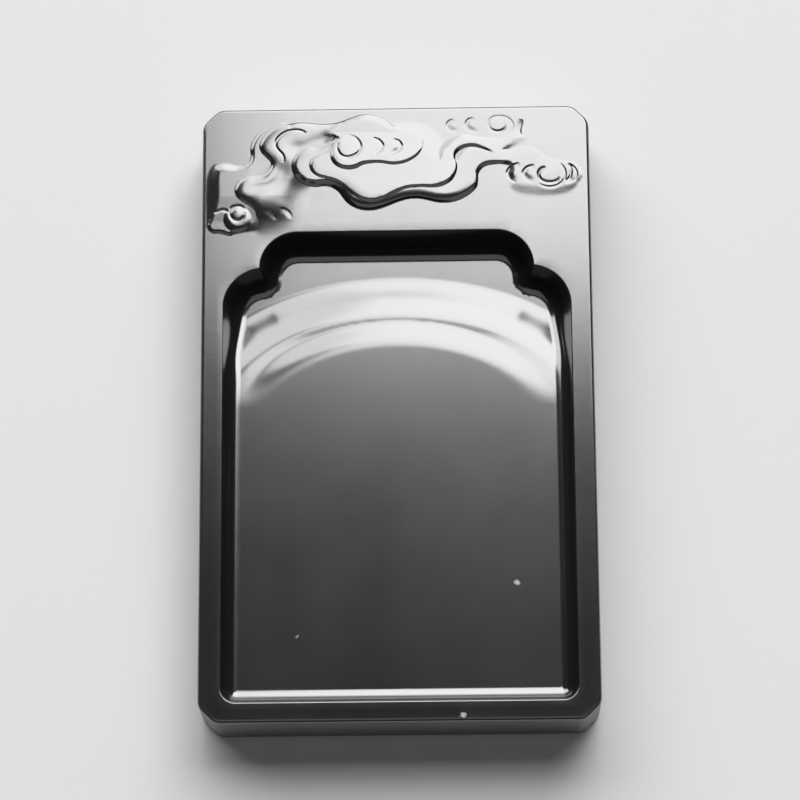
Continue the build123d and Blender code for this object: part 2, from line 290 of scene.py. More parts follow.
# Where a top sinks across the stone: the share it loses, where that starts, and over how far
TAIL_FALL = (.8, -.05, .01)
LIMB_FALL = (.65, -.046, .014)
BODY_FALLS = ((.4, .012, .012), (.5, .026, .016))
STRIP_FALL = (.85, .027, .01)
# Along the stone: where the falls at the left end, where the limb rises, and over how far
LEFT_FALLS_END = (.07, .02)
LIMB_RISE = (.0585, .018)
# How wide the soft rise is behind an edge that runs out softly
SOFT_WIDTH = .003
BODY_SOFT_WIDTH = .0034
INNER_SOFT_WIDTH = .0036
STRIP_SOFT_WIDTH = .0026

# What is laid over the clouds. Swellings, hollows and crescents have shares across and along.
# Fine cut lines have their depth as a third share
LIMB_VALLEY = [
    (-.515, .174), (-.47, .17), (-.43, .174), (-.4, .195), (-.38, .24), (-.37, .28),
]
LIMB_LOBE = [
    (-.5, .102), (-.46, .098), (-.41, .098), (-.35, .105),
]
HOOK_DISH = [
    (-.385, .3), (-.36, .305), (-.31, .305), (-.26, .325), (-.19, .34),
]
HOOK_LINE = [
    (-.3, .36, 0), (-.32, .369, .001), (-.34, .371, .0014), (-.37, .364, .0014),
    (-.39, .35, .0014), (-.402, .333, .0012), (-.403, .313, .001), (-.394, .298, .001),
    (-.382, .285, .001), (-.377, .27, .0008), (-.38, .256, 0),
]
HEAD_CURL = [
    (-.24, .31, 0), (-.225, .318, .0004), (-.2, .34, .0005), (-.17, .35, .0004),
    (-.14, .344, .0005), (-.122, .324, .001), (-.118, .303, .0015), (-.127, .285, .0018),
    (-.145, .274, .002), (-.166, .27, .0022), (-.186, .279, .002), (-.195, .296, .0015),
    (-.196, .31, .0008), (-.19, .322, 0),
]
RIGHT_END_CUT = [
    (.568, .176), (.583, .194), (.586, .216), (.582, .24),
]
RIGHT_END_CRESCENT = [
    (.574, .242), (.596, .23), (.608, .208), (.602, .184), (.57, .169),
]
RIGHT_CURL = [
    (.504, .23, 0), (.487, .222, .0015), (.478, .206, .0024), (.483, .188, .0022),
    (.498, .177, .0016), (.52, .174, .0012), (.54, .18, .0008), (.552, .194, 0),
]
RIGHT_CURL_EDGE = [
    (.548, .244, 0), (.562, .228, .0006), (.568, .205, .0008), (.563, .182, .0006),
    (.542, .164, .0005), (.515, .158, .0004), (.49, .164, .0003), (.472, .176, 0),
]
UPPER_LEFT_CRESCENT = [
    (.214, .36), (.186, .362), (.171, .38), (.18, .398), (.2, .404),
]
UPPER_MIDDLE_CRESCENT = [
    (.28, .356), (.248, .363), (.235, .383), (.244, .402), (.266, .41),
]
UPPER_CURL = [
    (.372, .384, 0), (.368, .37, .0005), (.355, .36, .0009), (.338, .359, .0008),
    (.323, .366, .0004), (.314, .382, .0003), (.316, .399, .0003), (.33, .41, .0003),
    (.356, .413, .0003), (.38, .405, .0003), (.395, .386, .0004), (.394, .366, .0004),
    (.384, .35, 0),
]
UPPER_RIGHT_CRESCENT = [
    (.43, .4), (.424, .38), (.42, .36), (.424, .344),
]
LEFT_CURL = [
    (-.509, .086, 0), (-.516, .098, .0006), (-.532, .102, .0006), (-.549, .096, .0008),
    (-.556, .08, .0012), (-.552, .063, .0014), (-.54, .053, .0014), (-.522, .053, .0012),
    (-.511, .063, .001), (-.507, .076, .0005),
]
LEFT_TAIL_LINE = [
    (-.61, .078, 0), (-.598, .084, .001), (-.58, .09, .0015), (-.566, .086, .001),
]
HEAD_CRESCENTS = [
    [(-.078, .34), (-.057, .333), (-.042, .312), (-.048, .294), (-.072, .279)],
    [(-.01, .334), (.01, .328), (.021, .309), (.012, .291), (-.025, .274)],
]
RIGHT_CRESCENTS = [
    [(.402, .176), (.38, .19), (.372, .209), (.384, .23), (.414, .246)],
    [(.462, .172), (.436, .186), (.425, .208), (.438, .228), (.464, .238)],
]
LEFT_CRESCENTS = [
    [(-.444, .092), (-.422, .085), (-.405, .066), (-.404, .054)],
    [(-.39, .095), (-.37, .091), (-.352, .072), (-.352, .058)],
]
# The middles of the curls and of the round form under the left one
HEAD_EYE = (-.164, .31)
RIGHT_EYE = (.519, .207)
UPPER_EYE = (.346, .384)
LEFT_EYE = (-.533, .077)
LEFT_ROUND = (-.531, .058)
LINE_WIDTH = .0004
LEFT_CURL_LINE_WIDTH = .0005


def swell(way):
    """A smooth step from 0 to 1 as way goes from 0 to 1."""
    return (1 - np.cos(pi * np.clip(way, 0, 1))) / 2


def shoulder(way):
    """A step that is steep at its foot and rounded at its top."""
    return np.sin(pi / 2 * np.clip(way, 0, 1))


def leaning(y, low, high):
    """A height that changes evenly along the forehead between two (share, height) places."""
    ends = [carving_base_y + low[0] * CARVING_SPAN, carving_base_y + high[0] * CARVING_SPAN]
    return np.interp(y, ends, [low[1], high[1]])


def fade_in(place, start, reach):
    """0 up to a start, and 1 from a reach further on."""
    return swell((place - start) / reach)


def fall(x, share, start, reach):
    """The share of its height that a top loses across the stone."""
    return share * fade_in(x, start, reach)


def smooth_line(shares, closed=False):
    """A smooth line through given places: across, along, and whatever else each one has."""
    places = np.array(shares, float) * CARVING_SPAN
    places[:, 1] += carving_base_y
    if closed:
        places = np.vstack([places[-1], places, places[:2]])
    else:
        before = 2 * places[0] - places[1]
        after = 2 * places[-1] - places[-2]
        places = np.vstack([before, places, after])
    way = np.linspace(0, 1, LINE_STEPS, endpoint=False)[:, None]
    runs = []
    for group in zip(places, places[1:], places[2:], places[3:]):
        gaps = [sqrt(hypot(*(end - start)[:2])) for start, end in zip(group, group[1:])]
        knots = np.cumsum([0, *gaps])
        place = knots[1] + way * (knots[2] - knots[1])
        mixed = group
        # each round mixes neighbours over longer spans, until one line is left
        for spans in (((0, 1), (1, 2), (2, 3)), ((0, 2), (1, 3)), ((1, 2),)):
            pairs = []
            for start, end, (k0, k1) in zip(mixed, mixed[1:], spans):
                blend = (knots[k1] - place) * start + (place - knots[k0]) * end
                pairs.append(blend / (knots[k1] - knots[k0]))
            mixed = pairs
        runs.append(mixed[0])
    return np.vstack([*runs, places[-2][None]])


def beside(line, x, y, reach):
    """How far each place is from a line, above 0 on its left, and what the line has there."""
    near = (x > line[:, 0].min() - reach) & (x < line[:, 0].max() + reach)
    near &= (y > line[:, 1].min() - reach) & (y < line[:, 1].max() + reach)
    near_x, near_y = x[near], y[near]
    runs = np.diff(line, axis=0)
    lengths = np.hypot(runs[:, 0], runs[:, 1])
    starts = np.concatenate([[0], np.cumsum(lengths)]) / lengths.sum()
    nearest = np.full(near_x.shape, np.inf)
    found = np.zeros((line.shape[1] - 1, *near_x.shape))
    for place, run, length, start, end in zip(line, runs, lengths, starts, starts[1:]):
        if length == 0:
            continue
        aside_x, aside_y = near_x - place[0], near_y - place[1]
        share = np.clip((aside_x * run[0] + aside_y * run[1]) / length**2, 0, 1)
        away = np.hypot(aside_x - share * run[0], aside_y - share * run[1])
        closer = away < np.abs(nearest)
        side = np.where(run[0] * aside_y - run[1] * aside_x >= 0, 1, -1)
        nearest = np.where(closer, away * side, nearest)
        found[-1] = np.where(closer, start + share * (end - start), found[-1])
        for column, values in enumerate(found[:-1]):
            here = place[2 + column] + share * run[2 + column]
            found[column] = np.where(closer, here, values)
    results = []
    for values, elsewhere in ((nearest, -np.inf), *((values, 0) for values in found)):
        whole = np.full(x.shape, float(elsewhere))
        whole[near] = values
        results.append(whole)
    return results


def fading_runs(outline):
    """The runs of an outline where its form fades out softly, each with the places next to it."""
    first = next(i for i, row in enumerate(outline) if row[2] <= WIDEST_EDGE)
    rows = outline[first:] + outline[: first + 1]
    runs, current = [], []
    for before, row in zip(rows, rows[1:]):
        if row[2] > WIDEST_EDGE:
            current = current or [before]
            current.append(row)
        elif current:
            runs.append([*current, row])
            current = []
    return runs


def blended_width(line, x, y):
    """The width that a fading edge has near each place, blended from all along its line."""
    total, shares = np.zeros(x.shape), np.zeros(x.shape)
    for place in line[::BLEND_STRIDE]:
        share = ((x - place[0]) ** 2 + (y - place[1]) ** 2 + WIDTH_BLEND**2) ** -2
        total += share * place[2]
        shares += share
    return total / shares


def raised(height, x, y, outline, top, soft_width=SOFT_WIDTH):
    """A cloud form laid over what is there: a step at its edge, or a soft rise where it fades."""
    inside, edge, softness, _ = beside(smooth_line(outline, closed=True), x, y, OUTLINE_MARGIN)
    edge = np.clip(edge, NARROWEST_EDGE, WIDEST_EDGE * CARVING_SPAN)
    softness = np.clip(softness / CARVING_SPAN, 0, 1)
    rise = (1 - softness) * shoulder(inside / edge)
    rise = rise + softness * shoulder(inside / np.maximum(soft_width, edge))
    for fading in fading_runs(outline):
        line = smooth_line(fading)
        away = beside(line, x, y, FADE_REACH)[0]
        rise = rise * swell(np.abs(away) / blended_width(line, x, y))
    return height + np.where(inside > 0, rise, 0) * (top - height)


def ridge(height, x, y, shares, rise, spread, taper=0.3):
    """A long soft swelling, or a hollow where rise is below 0, that fades at both ends."""
    aside, along = beside(smooth_line(shares), x, y, LINE_REACH * spread)
    fade = swell(np.minimum(along, 1 - along) / taper)
    return height + rise * fade * np.exp(-((aside / spread) ** 2))


def scratch(height, x, y, shares, width=LINE_WIDTH):
    """A fine cut line. Each place has its shares across and along, and its depth as a share."""
    aside, depth, _ = beside(smooth_line(shares), x, y, LINE_REACH * width)
    return height - np.maximum(depth, 0) * np.exp(-((aside / width) ** 2))


def crescent(height, x, y, shares, depth, steep=0.0005, gentle=0.0022):
    """A thumbnail cut: a steep wall on the line's left, and a gentle one on its right."""
    aside, along = beside(smooth_line(shares), x, y, steep + gentle)
    ends = np.sin(pi * np.clip(along, 0, 1)) ** CRESCENT_FULLNESS
    profile = np.where(aside > 0, 1 - shoulder(aside / steep), 1 - swell(-aside / gentle))
    return height - depth * ends * np.where(np.isfinite(aside), profile, 0)


def away_from(x, y, share):
    """How far each place is from one place of the carving."""
    return np.hypot(x - share[0] * CARVING_SPAN, y - carving_base_y - share[1] * CARVING_SPAN)


def dome(height, x, y, share, radius, rise):
    """A low round swelling at the middle of a curl."""
    return height + rise * np.clip(1 - (away_from(x, y, share) / radius) ** 2, 0, 1)


def disc(height, x, y, share, radius, edge, top):
    """A round form with a rounded edge."""
    return height + shoulder((radius - away_from(x, y, share)) / edge) * (top - height)


def carving_height(x, y):
    """How far the carving stands above the face."""
    h = np.zeros(x.shape)
    low = 1 - fade_in(y, *LEFT_FALLS_END)
    top = leaning(y, *TAIL_TOP) * (1 - low * fall(x, *TAIL_FALL))
    h = raised(h, x, y, TAIL_CLOUD, top)
    top = leaning(y, *LIMB_TOP) - leaning(y, *LIMB_TOP_LOSS)
    top = top * (1 - low * fall(x, *LIMB_FALL)) * fade_in(y, *LIMB_RISE)
    h = raised(h, x, y, LIMB_CLOUD, top)
    # the limb's inner side: a valley below its rim, the lobe under it, and the dish in its hook
    h = ridge(h, x, y, LIMB_VALLEY, rise=-.0001, spread=.0028)
    h = ridge(h, x, y, LIMB_LOBE, rise=.00008, spread=.0036)
    h = ridge(h, x, y, HOOK_DISH, rise=-.00013, spread=.003)
    h = scratch(h, x, y, HOOK_LINE)
    top = leaning(y, *BODY_TOP) * (1 - fall(x, *BODY_FALLS[0]) - fall(x, *BODY_FALLS[1]))
    h = raised(h, x, y, BODY_CLOUD, top, BODY_SOFT_WIDTH)
    h = raised(h, x, y, INNER_CLOUD, leaning(y, *INNER_TOP), INNER_SOFT_WIDTH)
    top = leaning(y, *STRIP_TOP) * (1 - fall(x, *STRIP_FALL))
    h = raised(h, x, y, STRIP_CLOUD, top, STRIP_SOFT_WIDTH)
    h = raised(h, x, y, HEAD_CLOUD, leaning(y, *HEAD_TOP))
    # the head's curl
    h = scratch(h, x, y, HEAD_CURL)
    h = dome(h, x, y, HEAD_EYE, radius=.0032, rise=.00003)
    for cut in HEAD_CRESCENTS:
        h = crescent(h, x, y, cut, depth=.00022)
    # the right scroll
    for cut in RIGHT_CRESCENTS:
        h = crescent(h, x, y, cut, depth=.00013, steep=.0006, gentle=.0026)
    h = crescent(h, x, y, RIGHT_END_CUT, depth=.00015, steep=.0006, gentle=.0012)
    h = crescent(h, x, y, RIGHT_END_CRESCENT, depth=.0001, gentle=.002)
    h = scratch(h, x, y, RIGHT_CURL)
    h = dome(h, x, y, RIGHT_EYE, radius=.003, rise=.00002)
    h = scratch(h, x, y, RIGHT_CURL_EDGE)
    # the upper group
    h = crescent(h, x, y, UPPER_LEFT_CRESCENT, depth=.00006, steep=.0006)
    h = crescent(h, x, y, UPPER_MIDDLE_CRESCENT, depth=.00007, steep=.0006)
    h = scratch(h, x, y, UPPER_CURL)
    h = dome(h, x, y, UPPER_EYE, radius=.0026, rise=.00002)
    h = crescent(h, x, y, UPPER_RIGHT_CRESCENT, depth=.0001, gentle=.0024)
    # the left scroll
    h = disc(h, x, y, LEFT_ROUND, radius=.0046, edge=.0026, top=.0004)
    h = scratch(h, x, y, LEFT_CURL, LEFT_CURL_LINE_WIDTH)
    h = dome(h, x, y, LEFT_EYE, radius=.0023, rise=.00005)
    h = scratch(h, x, y, LEFT_TAIL_LINE)
    for cut in LEFT_CRESCENTS:
        h = crescent(h, x, y, cut, depth=.00006)
    return h


def past_arch(x, y):
    """Roughly how far a place on the floor lies beyond the arched edge of the grinding floor."""
    across = np.abs(x) / ARCH_HALF_WIDTH
    along = np.maximum(y - arch_y, 0) / ARCH_RISE
    reach = np.maximum(np.hypot(across, along), TINY)
    slope = np.hypot(across / ARCH_HALF_WIDTH, along / ARCH_RISE)
    return (reach - 1) * reach / np.maximum(slope, TINY)


def floor_height(x, y):
    """The height of the hollow's floor: level, then falling by two swells to the ink pool."""
    past = past_arch(x, y)
    fade = swell((y - arch_y - CHANNEL_FADE[0]) / (CHANNEL_FADE[1] - CHANNEL_FADE[0]))
    aside = (x / ARCH_HALF_WIDTH) ** 2
    # the upper swell starts softly and bends most just before its end
    way = np.clip((past - UPPER_SWELL[0]) / (UPPER_SWELL[1] - UPPER_SWELL[0]), 0, 1)
    upper_drop = UPPER_SWELL_DROP * (1 - UPPER_SWELL_LOSS * np.minimum(aside, 1))
    start = LOWER_SWELL[0] + SETBACK[0] * aside
    end = LOWER_SWELL[1] + SETBACK[1] * aside
    lower_drop = POOL_DEPTH - GRINDING_DEPTH - upper_drop
    drop = upper_drop * way**3 * (4 - 3 * way)
    drop = drop + lower_drop * swell((past - start) / (end - start))
    return STONE_THICKNESS - GRINDING_DEPTH - fade * drop


def arc(centre, radius, start, end, step=LIP_STEP):
    """Places along an arc, without its last one."""
    count = max(FEWEST_ARC_STEPS, round(abs(end - start) * radius / step))
    angles = np.linspace(start, end, count, endpoint=False)
    return [(centre[0] + radius * cos(a), centre[1] + radius * sin(a)) for a in angles]


def run(start, end, step=LIP_STEP):
    """Places along a straight run, without its last one."""
    count = max(1, round(hypot(end[0] - start[0], end[1] - start[1]) / step))
    return [tuple(p) for p in np.linspace(start, end, count, endpoint=False)]


def lip_outline():
    """The hollow's outline at the face, round the whole hollow with its inside on the left."""
    foot_centre = (lip_x - FOOT_CORNER_RADIUS, lip_foot_y + FOOT_CORNER_RADIUS)
    side_centre = (lip_x - SHOULDER_ARC_RADIUS, shoulder_y)
    head_centre = (cusp_x - HEAD_ARC_RADIUS, cusp_y)
    # the cusp's small round touches both arcs from outside
    to_side = SHOULDER_ARC_RADIUS + CUSP_RADIUS
    to_head = HEAD_ARC_RADIUS + CUSP_RADIUS
    apart_x, apart_y = head_centre[0] - side_centre[0], head_centre[1] - side_centre[1]
    apart = hypot(apart_x, apart_y)
    along = (to_side**2 - to_head**2 + apart**2) / (2 * apart)
    aside = sqrt(to_side**2 - along**2)
    cusp_centre = (
        side_centre[0] + (along * apart_x + aside * apart_y) / apart,
        side_centre[1] + (along * apart_y - aside * apart_x) / apart,
    )
    side_end = atan2(cusp_centre[1] - side_centre[1], cusp_centre[0] - side_centre[0])
    head_start = atan2(cusp_centre[1] - head_centre[1], cusp_centre[0] - head_centre[0])
    cusp_end = head_start - pi
    if cusp_end < side_end - 3 * pi / 2:
        cusp_end += 2 * pi
    half = [
        *run((0, lip_foot_y), (foot_centre[0], lip_foot_y)),
        *arc(foot_centre, FOOT_CORNER_RADIUS, -pi / 2, 0, LIP_STEP / 2),
        *run((lip_x, foot_centre[1]), (lip_x, shoulder_y)),
        *arc(side_centre, SHOULDER_ARC_RADIUS, 0, side_end, LIP_STEP / 2),
        *arc(cusp_centre, CUSP_RADIUS, side_end - pi, cusp_end),
        *arc(head_centre, HEAD_ARC_RADIUS, head_start, pi / 2, LIP_STEP / 2),
        *run((head_centre[0], lip_head_y), (0, lip_head_y)),
        (0, lip_head_y),
    ]
    other_half = [(-px, py) for px, py in half[-2:0:-1]]
    return np.array(half + other_half)


def inside_lip(lip, x, y):
    """How far each place lies inside the hollow's outline, below 0 outside it."""
    return beside(np.vstack([lip, lip[:1]]), x, y, LIP_REACH)[0]


def hollow_height(lip, x, y):
    """The height of the stone in and round the hollow: lip, leaning wall, rounded foot, floor."""
    inside = inside_lip(lip, x, y)
    level = floor_height(x, y)
    wall = STONE_THICKNESS - inside / wall_lean
    from_foot = inside - (STONE_THICKNESS - level) * wall_lean
    turn = np.sqrt(np.maximum(WALL_FOOT_RADIUS**2 - (from_foot - foot_reach) ** 2, 0))
    round_foot = level + WALL_FOOT_RADIUS - turn
    lip_turn = np.clip(inside + lip_start, 0, LIP_ROUND)
    round_lip = STONE_THICKNESS - LIP_ROUND + np.sqrt(LIP_ROUND**2 - lip_turn**2)
    height = np.where(from_foot < foot_reach, round_foot, level)
    height = np.where(from_foot < -foot_reach * sin(WALL_DRAFT), wall, height)
    height = np.where(inside < lip_end, round_lip, height)
    return np.where(inside < -lip_start, STONE_THICKNESS, height)


def block_ring(inset):
    """The block's outline drawn in by inset, the same number of places whatever the inset."""
    radius = CORNER_SOFTENING - inset
    setback = CORNER_SOFTENING * tan(pi / 8)
    near_side = (STONE_WIDTH / 2 - CORNER_SOFTENING, head_y - CORNER_CUT - setback)
    near_end = (STONE_WIDTH / 2 - CORNER_CUT - setback, head_y - CORNER_SOFTENING)
    corner = []
    for centre, start in ((near_side, 0), (near_end, pi / 4)):
        for a in np.linspace(start, start + pi / 4, CORNER_TURNS):
            corner.append((centre[0] + radius * cos(a), centre[1] + radius * sin(a)))
    ring = []
    for side_x, side_y in ((1, 1), (-1, 1), (-1, -1), (1, -1)):
        turned = [(side_x * px, side_y * py) for px, py in corner]
        if side_x * side_y < 0:
            turned.reverse()
        ring.extend(turned)
    places = []
    for start, end in zip(ring, ring[1:] + ring[:1]):
        gap = hypot(end[0] - start[0], end[1] - start[1])
        count = max(1, round(gap / RIM_STEP)) if gap > CORNER_CUT else 1
        places.extend(run(start, end, gap / count))
    return np.array(places)


def thinned(keeps, rough):
    """Which places of a fine lattice to keep, so that points lie close only where it bends."""
    rows, columns = rough.shape
    keep = np.zeros(rough.shape, bool)
    row, column = np.mgrid[0:rows, 0:columns]
    for stride, least in keeps:
        on_stride = (row % stride == 0) & (column % stride == 0)
        busy = rough > least
        for _ in range(stride):
            busy[1:] |= busy[:-1]
            busy[:-1] |= busy[1:]
            busy[:, 1:] |= busy[:, :-1]
            busy[:, :-1] |= busy[:, 1:]
        keep |= on_stride & busy
    return keep


def lattice(x_reach, low_y, high_y, step):
    """Places of a square lattice, on the middle line and outwards."""
    across = np.arange(-round(x_reach / step), round(x_reach / step) + 1) * step
    along = np.arange(low_y, high_y, step)
    return np.meshgrid(across, along)


def surface_facing(x, y, height_at):
    """The unit vectors square to a height field at some places."""
    near = FACING_STEP
    slope_x = (height_at(x + near, y) - height_at(x - near, y)) / (2 * near)
    slope_y = (height_at(x, y + near) - height_at(x, y - near)) / (2 * near)
    return upright(slope_x, slope_y)


def upright(slope_x, slope_y):
    """Unit vectors square to a surface that rises by these slopes."""
    facing = np.column_stack([-slope_x, -slope_y, np.ones(len(slope_x))])
    return facing / np.linalg.norm(facing, axis=1)[:, None]


def placed(x, y, height, facing, wear_and_highlight_share=0):
    """Rows of across, along, height, the three parts of the facing, and its share of wear and
    painted highlight.
    """
    rows = np.zeros((len(x), 7))
    rows[:, 0], rows[:, 1], rows[:, 2] = x, y, height
    rows[:, 3:6] = facing
    rows[:, 6] = wear_and_highlight_share
    return rows


def on_face(x, y, margin):
    """Which places lie on the flat face, at least a margin inside its rounded edge."""
    inside = (np.abs(x) < face_x - margin) & (np.abs(y) < face_y - margin)
    return inside & (np.abs(x) + np.abs(y) < face_cut - margin * sqrt(2))


def forehead_points(lip):
    """The points of the carved forehead."""
    x, y = lattice(face_x, lip_head_y - CARVING_DROP, face_y, CARVING_STEP)
    h = carving_height(x, y)
    bend = np.zeros(h.shape)
    bend[1:-1, :] += np.abs(np.diff(h, 2, axis=0))
    bend[:, 1:-1] += np.abs(np.diff(h, 2, axis=1))
    keep = thinned(CARVING_KEEPS, bend)
    keep &= on_face(x, y, CARVING_STEP)
    by_lip = keep & (y < lip_head_y + LIP_MARGIN)
    keep[by_lip] = inside_lip(lip, x[by_lip], y[by_lip]) < -LIP_MARGIN
    slope_y, slope_x = np.gradient(h, CARVING_STEP)
    facing = upright(slope_x[keep], slope_y[keep])
    crest = np.zeros(h.shape)
    beside_it = h[2:, 1:-1] + h[:-2, 1:-1] + h[1:-1, 2:] + h[1:-1, :-2]
    crest[1:-1, 1:-1] = 4 * h[1:-1, 1:-1] - beside_it
    # the carving's crests take wear and painted highlight, more the more they bend
    wear_and_highlight_share = np.clip(crest[keep] / CREST_BEND, 0, 1)
    return placed(x[keep], y[keep], STONE_THICKNESS + h[keep], facing, wear_and_highlight_share)


def wall_points(lip):
    """The points of the lip, the leaning wall and its foot, in rows that follow the outline."""
    ahead = np.roll(lip, -1, axis=0) - np.roll(lip, 1, axis=0)
    inward = np.column_stack([-ahead[:, 1], ahead[:, 0]]) / np.hypot(*ahead.T)[:, None]
    depth = STONE_THICKNESS - floor_height(*(lip + inward * DEPTH_PROBE).T)
    wall_end = depth * wall_lean - foot_reach * sin(WALL_DRAFT)
    foot_width = foot_reach * (1 + sin(WALL_DRAFT))
    offsets = [-lip_start + share * (lip_start + lip_end) for share in LIP_ROWS]
    offsets += [lip_end + share * (wall_end - lip_end) for share in WALL_ROWS]
    offsets += [wall_end + share * foot_width for share in WALL_FOOT_ROWS]
    rows = []
    for offset in offsets:
        places = lip + inward * np.reshape(offset, (-1, 1))
        true = inside_lip(lip, *places.T)
        good = np.abs(true - offset) < ROW_SLACK
        x, y = places[good].T
        facing = surface_facing(x, y, lambda x, y: hollow_height(lip, x, y))
        # the lip's round takes wear and painted highlight
        on_lip = (true[good] < lip_end).astype(float)
        rows.append(placed(x, y, hollow_height(lip, x, y), facing, on_lip))
    return rows


def floor_points(lip, step, near_arch):
    """The points of the hollow's floor, near its arched edge or away from it."""
    x, y = lattice(lip_x, lip_foot_y, lip_head_y, step)
    past = past_arch(x, y)
    in_bend = (past > ARCH_BEND[0]) & (past < ARCH_BEND[1]) & (y > arch_y + CHANNEL_FADE[0])
    inside = inside_lip(lip, x, y)
    depth = STONE_THICKNESS - floor_height(x, y)
    clear = inside > depth * wall_lean + foot_reach + step / 2
    keep = (in_bend if near_arch else ~in_bend) & (clear | ~np.isfinite(inside))
    x, y = x[keep], y[keep]
    return placed(x, y, floor_height(x, y), surface_facing(x, y, floor_height))


def rim_points(lip):
    """The points of the flat rims beside and below the hollow."""
    x, y = lattice(face_x, foot_y, lip_head_y - CARVING_DROP, RIM_STEP)
    inside = inside_lip(lip, x, y)
    keep = on_face(x, y, RIM_STEP / 3) & np.isfinite(inside) & (inside < -RIM_STEP / 3)
    return placed(x[keep], y[keep], STONE_THICKNESS, (0, 0, 1))


def stone_points(lip):
    """How many points the face's edge has, and every point of the upper side, the edge first."""
    edge = block_ring(FACE_EDGE_ROUND)
    # the ring round the flat face takes some wear and painted highlight
    groups = [placed(*edge.T, STONE_THICKNESS, (0, 0, 1), EDGE_WEAR_AND_HIGHLIGHT)]
    groups.append(forehead_points(lip))
    groups.extend(wall_points(lip))
    groups.append(floor_points(lip, FLOOR_STEP, near_arch=False))
    groups.append(floor_points(lip, ARCH_STEP, near_arch=True))
    groups.append(rim_points(lip))
    return len(edge), np.vstack(groups)


def carved_stone():
    """The stone as one closed mesh: its upper side, rounded edge, sides, chamfer and underside."""
    lip = lip_outline()
    edge_count, points = stone_points(lip)
    ring = list(range(edge_count))
    rim = list(zip(ring, ring[1:] + ring[:1]))
    plan = [Vector(place[:2]) for place in points]
    found = geometry.delaunay_2d_cdt(plan, rim, [], 1, MERGE_DISTANCE)
    kept = points[[group[0] for group in found[3]]]
    vertices = [tuple(place) for place in kept[:, :3]]
    wear_and_highlight_share = list(kept[:, 6])
    place_of = {group[0]: i for i, group in enumerate(found[3])}
    faces = [tuple(face) for face in found[2]]
    middles = np.array([np.mean([vertices[i][:2] for i in face], axis=0) for face in faces])
    inside = inside_lip(lip, *middles.T)
    deep_inside = ~np.isfinite(inside) & (np.abs(middles[:, 1]) < lip_head_y)
    in_hollow = (inside > LIP_ROUND / 4) | deep_inside
    finishes = [GROUND if hollow else SANDED for hollow in in_hollow]
    facings = [kept[i, 3:6] for face in faces for i in face]
    outward = (block_ring(0) - block_ring(FACE_EDGE_ROUND)) / FACE_EDGE_ROUND
    rows = [(FACE_EDGE_ROUND, STONE_THICKNESS, 0, SANDED)]
    for angle in np.linspace(0, pi / 2, EDGE_TURNS + 1)[1:]:
        inset = FACE_EDGE_ROUND * (1 - sin(angle))
        height = STONE_THICKNESS - FACE_EDGE_ROUND * (1 - cos(angle))
        rows.append((inset, height, angle, SANDED))
    rows.append((0, UNDERSIDE_CHAMFER, pi / 2, SAWN))
    rows.append((UNDERSIDE_CHAMFER, 0, 3 * pi / 4, SAWN))
    upper = [place_of[i] for i in ring]
    for (_, _, upper_angle, _), (inset, height, angle, finish) in zip(rows, rows[1:]):
        first = len(vertices)
        vertices.extend((px, py, height) for px, py in block_ring(inset))
        # the face's rounded edge takes the full wear and painted highlight, the sawn sides less
        wear_and_highlight_share.extend([1 if finish == SANDED else SIDE_WEAR_AND_HIGHLIGHT] * edge_count)
        lower = list(range(first, first + edge_count))
        if angle > pi / 2:
            upper_angle = angle
        for i, after in rim:
            faces.append((upper[i], lower[i], lower[after], upper[after]))
            finishes.append(finish)
            corners = ((i, upper_angle), (i, angle), (after, angle), (after, upper_angle))
            for corner, turn in corners:
                facings.append((*outward[corner] * sin(turn), cos(turn)))
        upper = lower
    faces.append(tuple(reversed(upper)))
    finishes.append(SAWN)
    facings.extend([(0, 0, -1)] * edge_count)
    mesh = bpy.data.meshes.new("carved_stone")
    mesh.from_pydata(vertices, [], faces)
    mesh.polygons.foreach_set("material_index", finishes)
    mesh.polygons.foreach_set("use_smooth", [True] * len(faces))
    # each point's share of the wear and painted highlight on edges and crests
    mesh.attributes.new("wear_and_highlight_share", "FLOAT", "POINT").data.foreach_set("value", wear_and_highlight_share)
    mesh.normals_split_custom_set([Vector(facing) for facing in facings])
    mesh.update()
    stone = bpy.data.objects.new("carved_stone", mesh)
    bpy.context.scene.collection.objects.link(stone)
    return stone


def new_group(name, inputs, outputs):
    """An empty node group with named number or vector inputs and number outputs."""
    group = bpy.data.node_groups.new(name, "ShaderNodeTree")
    for socket_name, kind, value in inputs:
        socket = group.interface.new_socket(socket_name, in_out="INPUT", socket_type=kind)
        socket.default_value = value
    for socket_name in outputs:
        group.interface.new_socket(socket_name, in_out="OUTPUT", socket_type="NodeSocketFloat")
    return group, group.nodes.new("NodeGroupInput"), group.nodes.new("NodeGroupOutput")


def math_node(tree, operation, first, second, clamp=False):
    """A math node fed by sockets or numbers, as its output socket."""
    node = tree.nodes.new("ShaderNodeMath")
    node.operation = operation
    node.use_clamp = clamp
    for socket, value in zip(node.inputs, (first, second)):
        if isinstance(value, (int, float)):
            socket.default_value = value
        else:
            tree.links.new(value, socket)
    return node.outputs["Value"]


def blended(tree, share, first, second):
    """Two values added, the first by its share and the second by the rest, as a socket."""
    part = math_node(tree, "MULTIPLY", first, share)
    rest = math_node(tree, "MULTIPLY", second, 1 - share)
    return math_node(tree, "ADD", part, rest)


def vector_node(tree, operation, first, second=None):
    """A vector math node fed by a socket, and by a second socket or a plain vector."""
    node = tree.nodes.new("ShaderNodeVectorMath")
    node.operation = operation
    tree.links.new(first, node.inputs[0])
    if isinstance(second, tuple):
        node.inputs[1].default_value = second
    elif second is not None:
        tree.links.new(second, node.inputs[1])
    return node


